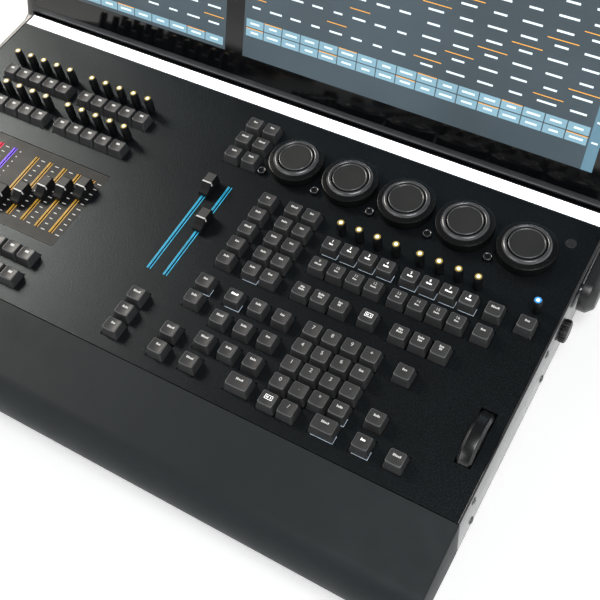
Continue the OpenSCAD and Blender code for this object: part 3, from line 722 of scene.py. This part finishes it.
def encoder(number):
    """Outer ring with a dark wall, a flange and a paler metallic lip, and the flat dial inside it with a
    paler hoop; lip and hoop are partly a painted highlight, and the wall's darker, duller plastic is painted
    shade.
    """
    ring_node, dial_node = f"encoder_ring_{number}", f"encoder_dial_{number}"
    low, high = node_span(ring_node)
    centre = middle((low, high))
    place = at(centre.x, centre.y)
    r, top, tube = (high.x - low.x) / 2, high.z, 6.0
    lip = (node_span(dial_node)[1].x - node_span(dial_node)[0].x) / 2 + 0.7

    wall = [(tube, low.z), (tube, 0.8), (r - 1.0, 0.8), (r - 0.4, 1.1), (r - 0.1, 1.8), (r - 0.1, top - 4.0)]
    inside = [(lip, top - 3), (lip, top - 6.8), (lip - 0.3, top - 7), (4.1, top - 7), (4.1, low.z)]
    flange = [(lip, top - 4.3), (r - 0.4, top - 4.6), (r, top - 4.3), (r, top - 3.9), (r - 0.25, top - 3.45)]
    flange += [(r - 0.8, top - 3.25), (r - 1.3, top - 3.2), (lip + 3.9, top - 2.5), (lip, top - 2.4)]
    crest = arc((lip + 1.5, top - 1.7), 1.5, 180, 60, 8) + [(lip + 3.2, top - 1.3), (lip + 3.9, top - 2.3)]
    ring = Piece()
    # The wall takes the darker, duller plastic, painted shade.
    ring.add(lathe(wall + inside, 96, closed=True), place, 2)
    ring.add(lathe(flange, 96, closed=True), place)
    # The lip takes the paler metallic plastic, partly a painted highlight.
    ring.add(lathe(crest + [(lip + 3.9, top - 2.6), (lip, top - 2.6)], 96, closed=True), place, 1)
    looks = [ring_plastic, bevel_highlight_plastic, wall_shade_plastic]
    ring.make(f"encoder_{number}_ring", looks, ring_node, ring_node, "ring_plastic")

    low, high = node_span(dial_node)
    r, top = (high.x - low.x) / 2 - 0.5, high.z
    shaft = [(0, low.z), (4, low.z), (4, top - 6.2), (r - 0.5, top - 6.2), (r, top - 5.7)]
    disc = [(r, top - 0.9), (r - 1.4, top - 0.62), (r - 5, top - 0.8), (r - 10, top - 0.95), (0, top - 1.0)]
    hoop = [(r - 1.4, top - 0.9), (r + 0.02, top - 0.9), (r + 0.02, top - 0.5)]
    hoop += arc((r - 0.65, top - 0.55), 0.65, 0, 180, 8) + [(r - 1.4, top - 0.6)]
    dial = Piece()
    dial.add(lathe(shaft + disc, 96), place)
    # The dial's hoop takes the paler metallic plastic, partly a painted highlight.
    dial.add(lathe(hoop, 96, closed=True), place, 1)
    dial.make(f"encoder_{number}_dial", [dial_plastic, bevel_highlight_plastic], dial_node, dial_node, "dial_plastic")


for encoder_number in range(1, 6):
    encoder(encoder_number)


# ---------------------------------------------------------------- level wheel

def level_wheel():
    """Glossy wheel with bevelled edges and fine side grooves, on its axle."""
    low, high = node_span("level_wheel")
    centre = Vector(((low.x + high.x) / 2, (low.y + high.y) / 2, (low.z + high.z) / 2))
    radius = (high.z - low.z) / 2
    half = 6.2
    side = [(0, -half - 4), (3, -half - 4), (3, -half), (radius - 9, -half), (radius - 8, -half + 0.5)]
    edge = [(radius - 3.4, -half + 0.5), (radius - 3, -half + 0.15), (radius - 2.4, -half)]
    bevel = [(radius - 1.9, -half + 0.15), (radius - 0.45, -half + 1.7), (radius - 0.1, -half + 2.2)]
    bevel += [(radius, -half + 2.8)]
    profile = side + edge + bevel
    profile += [(r, -z) for r, z in reversed(profile)]
    turn = Matrix.Translation(centre) @ Matrix.Rotation(math.radians(90), 4, "Y")
    piece = Piece()
    piece.add(lathe(profile, 160), turn)
    piece.make("level_wheel_turned", [wheel_plastic], "level_wheel", "level_wheel", "wheel_plastic", 25)


level_wheel()


# ---------------------------------------------------------------- faders

FADER_TOP = 11.0


def fader_outline(length):
    """Side view of a cap: a low toe in front, a hollow rise to the ridge, and a flat top behind it."""
    half, top = length / 2, FADER_TOP
    toe = [(-half, 5.0), (-half + 1.0, 5.8)]
    rise = [(-half + 1.0 + t * (half - 2.4), 5.8 + 5.0 * t ** 1.8) for t in (0.25, 0.5, 0.75, 0.93)]
    ridge = [(-1.4, top - 0.1), (-0.6, top)]
    back = [(half - 1.0, top), (half, top - 1.0)]
    outline = toe + rise + ridge + back + [(half, 1.2), (-half, 1.2)]
    return outline[::-1]


def fader_cap(name):
    """Replaces one fader by a cap with a white line over its ridge and a paler plate on its flat top, a
    painted highlight where light falls on that top.
    """
    low, high = node_span(name)
    centre = middle((low, high))
    half_w, length, top = (high.x - low.x) / 2, high.y - low.y, FADER_TOP
    place = at(centre.x, centre.y)
    piece = Piece()
    piece.add(extrude_x(fader_outline(length), rounded_ends(-half_w, half_w, 0.35, 1)), place)
    piece.add(block((-0.4, -3, low.z), (0.4, 3, 1.5)), place)
    for left, bottom, right, peak in (
        (-half_w + 0.3, top - 0.5, half_w - 0.3, top + 0.08),
        (-half_w - 0.03, 6.8, -half_w + 0.5, top - 0.4),
        (half_w - 0.5, 6.8, half_w + 0.03, top - 0.4),
    ):
        piece.add(block((left, -1.5, bottom), (right, -0.2, peak)), place, 1)
    # Paler plate on the flat top: painted highlight.
    highlight_plate = block((-half_w + 0.5, 0.1, top - 0.5), (half_w - 0.5, length / 2 - 1.1, top + 0.06))
    piece.add(highlight_plate, place, 2)
    piece.make(name + "_cap", [fader_plastic, legend_white_glow, fader_top_highlight], name, name, "fader_cap", 20)


EXECUTORS = [f"executor_fader_{i}" for i in range(1, 11)]
MASTERS = ["master_fader_a", "master_fader_b"]
for fader_name in EXECUTORS + MASTERS:
    fader_cap(fader_name)

STRIP_LOOKS = [
    strip_slot, strip_gold, strip_purple, strip_red, strip_blue, strip_gold_bright, strip_blue_bright]
EXECUTOR_STRIPS = [strip_gold] * 5 + [strip_purple, strip_red, strip_red, strip_purple, strip_gold]
THIN_STRIPS = {strip_gold: strip_gold_bright, strip_blue: strip_blue_bright}


def light_strips():
    """Lit guides beside each fader's slit: dark holders with ridges in the fader's colour."""
    piece = Piece()
    columns = {n: middle(node_span(n)).x for n in EXECUTORS + MASTERS}
    for low, high in solids("fader_light_guides"):
        name = min(columns, key=lambda n: abs(columns[n] - (low.x + high.x) / 2))
        look = strip_blue if name in MASTERS else EXECUTOR_STRIPS[EXECUTORS.index(name)]
        piece.add(block(low, (high.x, high.y, high.z - 0.15)))
        ridges = [(low.x + 0.05, high.x - 0.05)]
        if high.x - low.x > 1.5:
            ridges = [(low.x + 0.15, low.x + 0.95), (low.x + 1.3, high.x - 0.05)]
        for left, right in ridges:
            tint = THIN_STRIPS.get(look, look) if right - left < 0.7 else look
            shape = block((left, low.y + 0.2, low.z + 0.2), (right, high.y - 0.2, high.z), 0.2)
            piece.add(shape, look=STRIP_LOOKS.index(tint))
    piece.make("fader_light_strips", STRIP_LOOKS, "chassis", "fader_light_guides", "light_guide")


def scale_marks():
    """Printed marks to the right of each executor slot: dots beside one column, dashes beside the rest."""
    piece = Piece()
    low, high = node_span("executor_fader_panel")
    for number, name in enumerate(EXECUTORS):
        x = middle(node_span(name)).x + 5.2
        for k in range(11):
            v = (low.y + high.y) / 2 + (k - 5) * 6.4
            if number == 5:
                dot = [(0, high.z - 0.2), (0.75, high.z - 0.2), (0.75, high.z + 0.03), (0, high.z + 0.03)]
                piece.add(lathe(dot, 12), at(x + 1.5, v))
            else:
                reach = 4.4 if k % 5 == 0 else 3.4
                piece.add(block((x, v - 0.4, high.z - 0.2), (x + reach, v + 0.4, high.z + 0.03)))
    piece.make("executor_scale_marks", [legend_white_glow], "chassis", slot="keycap")


def panel_seam():
    """Dark joint round the executor panel."""
    low, high = node_span("executor_fader_panel")
    seam = 0.8
    z0, z1 = high.z - 0.3, high.z + 0.03
    piece = Piece()
    piece.add(block((low.x, low.y, z0), (high.x, low.y + seam, z1)))
    piece.add(block((low.x, high.y - seam, z0), (high.x, high.y, z1)))
    for left in (low.x, high.x - seam):
        piece.add(block((left, low.y + seam, z0), (left + seam, high.y - seam, z1)))
    piece.make("executor_panel_seam", [strip_slot], "chassis", slot="fader_panel")


light_strips()
scale_marks()
panel_seam()


# ---------------------------------------------------------------- case

def armrest():
    """Smooth moulding in front of the deck, with a round nose."""
    low, high = node_span("armrest")
    radius, drop = 25, 8
    nose = arc((low.y + radius, -drop - radius), radius, 90, 270, 40)
    outline = [(high.y, high.z)] + nose + [(-24, low.z), (high.y, low.z)]
    piece = Piece()
    piece.add(extrude_x(outline, rounded_ends(low.x, high.x, 1.2)))
    piece.make("armrest_moulding", [armrest_paint], "chassis", "armrest", "armrest_moulding")


def light_sensor():
    """Flat round sensor window let into the deck, right of the encoders."""
    x, v = 296.8, 261
    piece = Piece()
    profile = [(0, -0.5), (4.6, -0.5), (4.6, 0.15), (4.2, 0.3), (3.3, 0.3), (3.1, 0.1), (0, 0.1)]
    piece.add(lathe(profile, 48), at(x, v))
    piece.make("light_sensor", [arm_paint], "chassis", slot="knob_plastic")


def side_panels():
    """Folded side sheets whose edges are softened enough to catch light."""
    low, high = node_span("side_panels")
    step = node_span("light_bar_channel")[1].y + 0.5
    ledge = node_span("rear_panel")[1].z
    outline = [(low.y, high.z), (low.y, low.z), (high.y, low.z), (high.y, ledge)]
    outline += arc((step + 4, ledge + 4), 4, 270, 180, 6) + arc((step - 4, high.z - 4), 4, 0, 90, 6)
    thick = node_span("side_panels")[1].x - node_span("base_pan")[1].x
    piece = Piece()
    for sections in (rounded_ends(low.x, low.x + thick, 0.7), rounded_ends(high.x - thick, high.x, 0.7)):
        piece.add(extrude_x(outline, sections))
    piece.make("side_sheets", [edge_paint], "chassis", "side_panels", "case_sheet")


def side_face(x, y, z):
    """Placement on a side of the desk at x, whose local z points away from the desk."""
    return Matrix.Translation((x, y, z)) @ Matrix.Rotation(math.radians(90 if x > 0 else -90), 4, "Y")


def side_screws():
    """Domed screws with a round recess, in the side sheets."""
    piece = Piece()
    head = [(0, -1), (3.4, -1), (3.5, 0.1), (3.2, 0.7), (2.4, 1.1), (1.9, 1.2)]
    recess = [(1.7, 1.1), (1.6, 0.2), (0, 0.2)]
    for low, high in solids("case_screws"):
        centre = (low + high) / 2
        face = node_span("side_panels")[1 if centre.x > 0 else 0].x
        place = side_face(face, centre.y, centre.z)
        piece.add(lathe(head + recess, 36), place)
        piece.add(lathe([(0, -7), (1.5, -7), (1.5, -0.8), (0, -0.8)], 16), place)
    piece.make("side_screw_heads", [edge_paint], "chassis", "case_screws", "screw_steel")


def lock_knob(side):
    """Knurled clamping knob with a dished face, beside the screen's pivot."""
    node = f"{side}_lock_knob"
    low, high = node_span(node)
    centre = (low + high) / 2
    place = side_face(high.x if side == "right" else low.x, centre.y, centre.z)
    sections = [(-6, 0.6, 0), (-5.5, 0, 0.7), (-1.6, 0, 0.7), (-0.6, 0.5, 0.3), (0, 1.6, 0), (-0.5, 4, 0)]
    piece = Piece()
    piece.add(fluted((high.y - low.y) / 2, 24, 6, sections), place)
    piece.add(lathe([(0, -18), (3, -18), (3, -5.8), (0, -5.8)], 24), place)
    piece.make(f"{side}_knurled_knob", [knob_plastic], node, node, "knob_plastic")


def arm_outline():
    """Side view of an arm: a bar with a round front, and a post leaning with the screen."""
    low, high = node_span("screen_arms")
    bar_low, bar_top, front, heel = low.z, -6.4, low.y, 340
    radius = (bar_top - bar_low) / 2
    lean = SCREEN.to_3x3()
    along, out = lean @ Vector((0, 1, 0)), lean @ Vector((0, 0, 1))
    corner = SCREEN @ Vector((0, -9.3, 0))

    def post(height, depth):
        point = corner + along * height + out * depth
        return point.y, point.z

    foot = post(-6.1, -2)
    outline = [(heel, bar_low), (heel, -10), post(16, -28)]
    outline += [post(146, -28), post(149, -27), post(150, -24), post(150, -6), post(149, -3), post(146, -2)]
    outline += [post(4, -2), (foot[0] + 0.6, foot[1] + 2), (foot[0] - 4, bar_top)]
    outline += arc((front + radius, bar_top - radius), radius, 90, 270, 24)
    return outline


def screen_arms():
    """Side arms with a wide bevel round their outer face."""
    low, high = node_span("screen_arms")
    inner = GLASS_W + 5.3
    bevel, outer = high.x - 5.7, high.x
    sections = [(inner, 0.5), (inner + 0.5, 0), (bevel - 0.7, 0), (bevel + 0.15, 0.3)]
    sections += [(outer - 0.4, 5.0), (outer, 5.9)]
    piece = Piece()
    piece.add(extrude_x(arm_outline(), sections))
    piece.add(extrude_x(arm_outline(), [(-x, amount) for x, amount in reversed(sections)]))
    piece.make("screen_arm_castings", [arm_paint], "screen", "screen_arms", "arm_paint")


armrest()
light_sensor()
side_panels()
side_screws()
screen_arms()
for knob_side in ("left", "right"):
    lock_knob(knob_side)


# ---------------------------------------------------------------- rear sockets

REAR = node_span("rear_panel")[1].y
SOCKETS = sorted(solids("rear_connectors"), key=lambda b: -b[0].x)
XLR, NETWORK, USB, VIDEO = SOCKETS[:6], SOCKETS[6:9], SOCKETS[9:11], SOCKETS[11:]


def rear(x, z, proud=0.0):
    """Placement on the rear panel: local x across, local y down and local z out of the panel."""
    return Matrix.Translation((x, REAR + proud, z)) @ Matrix.Rotation(math.radians(-90), 4, "X")


def centre_of(box):
    """Middle of a socket as (x, z)."""
    return (box[0].x + box[1].x) / 2, (box[0].z + box[1].z) / 2


def metal_frame(piece, x, z, width, height, look):
    """Thin metal edge round a rectangular opening."""
    for side in (-1, 1):
        across = block((-width / 2 - 0.5, -0.25, 0.5), (width / 2 + 0.5, 0.25, 2.5))
        upright = block((-0.25, -height / 2, 0.5), (0.25, height / 2, 2.5))
        piece.add(across, rear(x, z) @ at(0, side * (height / 2 + 0.25)), look)
        piece.add(upright, rear(x, z) @ at(side * (width / 2 + 0.25), 0), look)


def socket_screws(piece, x, z):
    """Two small screws in a square flange."""
    head = [(0, 1), (2.2, 1), (2.2, 2.3), (1.6, 2.8), (0.8, 2.9), (0.7, 2.3), (0, 2.3)]
    for side in (-1, 1):
        piece.add(lathe(head, 20), rear(x, z) @ at(side * 9.6, side * -12.4), 0)


def rear_details():
    """Rims, contacts, tongues and screws of the sockets."""
    piece = Piece()
    for box in XLR:
        x, z = centre_of(box)
        rim = [(10.1, 1.5), (11.6, 1.5), (11.6, 2.6), (11.2, 3.0), (10.4, 3.0), (10.1, 2.7)]
        piece.add(lathe(rim, 48, closed=True), rear(x, z), 2)
        socket_screws(piece, x, z)
        piece.add(block((-2.4, -13.6, 1.5), (2.4, -11.8, 3.4), 0.4), rear(x, z), 2)
        for angle in (90, 210, 330):
            px, pz = 5 * math.cos(math.radians(angle)), -5 * math.sin(math.radians(angle))
            sleeve = [(0.85, -3), (1.38, -3), (1.38, 1.9), (0.85, 1.9)]
            piece.add(lathe(sleeve, 20, closed=True), rear(x, z) @ at(px, pz), 1)
    for box in NETWORK:
        x, z = centre_of(box)
        socket_screws(piece, x, z)
        metal_frame(piece, x, z, 13, 9, 2)
        for k in range(8):
            piece.add(block((-3.8 + k, -4.4, -9), (-3.4 + k, -3.2, 0)), rear(x, z), 1)
    for box in USB:
        x, z = centre_of(box)
        for shift in (-4.4, 4.4):
            metal_frame(piece, x, z + shift, 13, 5.4, 2)
            piece.add(block((-5.4, -0.4, -11), (5.4, 1.6, 0.5)), rear(x, z + shift), 3)
    for box in VIDEO:
        x, z = centre_of(box)
        metal_frame(piece, x, z, 17, 5.6, 2)
        piece.add(block((-6.5, -0.8, -9), (6.5, 0.8, 0.5)), rear(x, z), 4)
    looks = [screw_black, gold, zinc, tongue_blue, socket_plastic]
    piece.make("socket_details", looks, "chassis", slot="inner_steel")


def power_details():
    """Metal blades in the power inlet, and the rocker's marks, which lie hidden under its face."""
    inlet, switch = sorted(solids("power_inlet"), key=lambda b: b[0].x)
    x, z = centre_of(inlet)
    blades = Piece()
    for px, pz in ((-7, -2), (7, -2), (0, 4)):
        blades.add(block((px - 1.1, -pz - 2.1, -18), (px + 1.1, -pz + 2.1, -5.2), 0.3), rear(x, z))
    blades.make("inlet_blades", [zinc], "chassis", slot="inner_steel")
    x, z = centre_of(switch)
    marks = Piece()
    rest, tilt = math.radians(7), math.atan2(1.4, 10)
    upper = rear(x, z) @ Matrix.Rotation(rest + tilt, 4, "X")
    lower = rear(x, z) @ Matrix.Rotation(rest - tilt, 4, "X")
    marks.add(block((-0.4, -7.4, -0.3), (0.4, -3.4, 0.06)), upper)
    circle = [(1.3, -0.3), (2.0, -0.3), (2.0, 0.06), (1.3, 0.06)]
    marks.add(lathe(circle, 32, closed=True), lower @ at(0, 5.4))
    marks.make("rocker_marks", [legend_white_glow], "power_switch", slot="connector_plastic")


rear_details()
power_details()


# ---------------------------------------------------------------- screen

class Picture:
    """Plain windows drawn as thin lit plates on the glass, in screen space."""

    LOOKS = ("slate", "blue", "pale", "orange", "white")

    def __init__(self):
        self.piece = Piece()

    def plate(self, x0, s0, x1, s1, look, level=1):
        """Flat rectangle; a higher level lies in front."""
        low, high = (x0, s0, -0.4), (x1, s1, 0.012 + 0.012 * level)
        self.piece.add(block(low, high), SCREEN, self.LOOKS.index(look))

    def tile(self, x0, s0, x1, s1, look, seed):
        """Key-like tile with a stand-in for its word, and an orange line along some tops."""
        self.plate(x0, s0, x1, s1, look, 2)
        middle_x, middle_s = (x0 + x1) / 2, (s0 + s1) / 2
        reach = (x1 - x0) * (0.22 + 0.05 * (seed % 3))
        self.plate(middle_x - reach, middle_s - 0.9, middle_x + reach, middle_s + 0.9, "white", 3)
        if seed % 4 == 0:
            self.plate(x0, s1 - 0.7, x1, s1, "orange", 3)

    def grid(self, x0, s0, x1, s1, columns, rows, look):
        """Field of equal tiles."""
        wide, tall = (x1 - x0) / columns, (s1 - s0) / rows
        for i in range(columns):
            for j in range(rows):
                left, low = x0 + i * wide, s0 + j * tall
                self.tile(left + 0.5, low + 0.5, left + wide - 0.5, low + tall - 0.5, look, i * 5 + j * 7)

    def window(self, x0, s0, x1, s1, columns, rows):
        """Window with a title bar over a field of tiles."""
        self.plate(x0, s1 - 6, x1, s1, "blue", 2)
        self.plate(x0 + 2, s1 - 3.9, x0 + 26, s1 - 2.1, "white", 3)
        self.grid(x0, s0, x1, s1 - 7, columns, rows, "slate")


def displays():
    """Lit area of each display, as lowest and highest corner in screen space, from left to right."""
    panels = solids("display_panels", SCREEN.inverted() @ FROM_DECK)
    areas = [(low.x + 4, low.y + 6, high.x - 4, high.y - 4) for low, high in panels]
    return sorted(areas)


def screen_picture():
    """Generic picture on both displays."""
    picture = Picture()
    side, main = displays()
    x0, s0, x1, s1 = main
    band = x1 - 9.8
    rows = s0 + 20.8
    picture.plate(x0, s0, x1, s1, "slate")
    picture.plate(band, s0, x1, s1, "blue", 2)
    for k in range(9):
        picture.plate(band + 2.2, rows + 4 + 18 * k, x1 - 2.2, rows + 5.6 + 18 * k, "white", 3)
    picture.grid(x0 + 2, rows, band - 1, rows + 2 * 8.8, 17, 2, "pale")
    picture.window(x0 + 2, rows + 20, x0 + 168, s1 - 2, 8, 8)
    picture.window(x0 + 171, rows + 20, band - 1, s1 - 2, 6, 12)
    x0, s0, x1, s1 = side
    picture.plate(x0, s0, x1, s1, "slate")
    picture.grid(x0 + 2, s0 + 3, x1 - 2, s0 + 12, 10, 1, "pale")
    picture.window(x0 + 2, s0 + 15, x1 - 2, s1 - 2, 9, 7)
    looks = [gui_slate, gui_blue, gui_pale, gui_orange, gui_white]
    picture.piece.make("screen_picture", looks, "screen", slot="display")


screen_picture()


# ---------------------------------------------------------------- finishes of the CAD nodes that stay

FINISHES = {
    deck_paint: ["deck_plate"],
    case_paint: ["base_pan", "rear_panel", "rear_top_cover"],
    panel_paint: ["executor_fader_panel"],
    aluminium: ["light_bar_channel"],
    bar_light: ["light_bar_diffuser"],
    switch_plastic: ["key_circuit_boards"],
    board_green: ["computer_board"],
    zinc: ["fader_mechanisms", "encoder_modules", "wheel_bracket", "power_supply", "screen_pivot_pins"],
    socket_plastic: ["rear_connectors", "power_inlet", "power_switch"],
    foot_rubber: ["rubber_feet"],
    housing_plastic: ["screen_shell"],
    screen_glass: ["screen_glass", "display_panels"],
}
for finish, members in FINISHES.items():
    for member in members:
        look = frame["nodes"][member].data.materials
        look.clear()
        look.append(finish)


# ---------------------------------------------------------------- studio

def area_light(name, spot, target, size, power, color=(1, 1, 1)):
    """Soft rectangular light aimed at a point, all in metres."""
    data = bpy.data.lights.new(name, "AREA")
    data.shape = "RECTANGLE"
    data.size, data.size_y = size
    data.energy = power
    data.color = color
    light = bpy.data.objects.new(name, data)
    light.location = spot
    light.rotation_euler = (Vector(target) - Vector(spot)).to_track_quat("-Z", "Y").to_euler()
    bpy.context.scene.collection.objects.link(light)


def backdrop():
    """Pale round floor that curves up into a low wall."""
    flat, bend, wall = 4.5, 1.5, 2.6
    section = [(0, 0)] + arc((flat, bend), bend, -90, 0, 10) + [(flat + bend, wall)]
    points, faces = lathe(section, 96)
    mesh = bpy.data.meshes.new("backdrop")
    mesh.from_pydata(points, [], faces)
    mesh.polygons.foreach_set("use_smooth", [True] * len(mesh.polygons))
    paper = surface(
        "backdrop_paper", (0.88, 0.88, 0.88), 0.7, grain=3, depth=0.05, mottle=0.01,
        Emission_Color=(1, 1, 1, 1), Emission_Strength=0.44)
    mesh.materials.append(paper)
    made = bpy.data.objects.new("backdrop", mesh)
    bpy.context.scene.collection.objects.link(made)


def world():
    """Even dim surroundings; the softboxes and the pale backdrop do the lighting."""
    made = bpy.data.worlds.new("studio")
    made.use_nodes = True
    made.node_tree.nodes["Background"].inputs["Color"].default_value = (0.93, 0.97, 1.0, 1)
    made.node_tree.nodes["Background"].inputs["Strength"].default_value = 0.10
    bpy.context.scene.world = made
    bpy.context.scene.view_settings.view_transform = "Standard"


def camera():
    """Camera above the desk's right front corner, turned a little about its own axis."""
    data = bpy.data.cameras.new("camera")
    data.lens = 57.8
    eye = TO_DECK @ Vector((398, -228, 662))
    aim = TO_DECK @ Vector((122, 113, 0))
    made = bpy.data.objects.new("camera", data)
    turn = (aim - eye).to_track_quat("-Z", "Y").to_matrix().to_4x4()
    made.matrix_world = Matrix.Translation(eye) @ turn @ Matrix.Rotation(math.radians(-10.7), 4, "Z")
    bpy.context.scene.collection.objects.link(made)
    bpy.context.scene.camera = made


backdrop()
world()
area_light("overhead", (1.0, -0.5, 2.3), (0, 0, 0), (1.1, 1.1), 30)
area_light("rear_softbox", (-1.50, 0.38, 1.07), (-0.2, -0.05, 0.1), (0.55, 0.55), 23, (1.0, 0.94, 0.85))
area_light("front_fill", (-0.9, -2.0, 1.6), (0, 0, 0.1), (1.4, 1.0), 8)
camera()
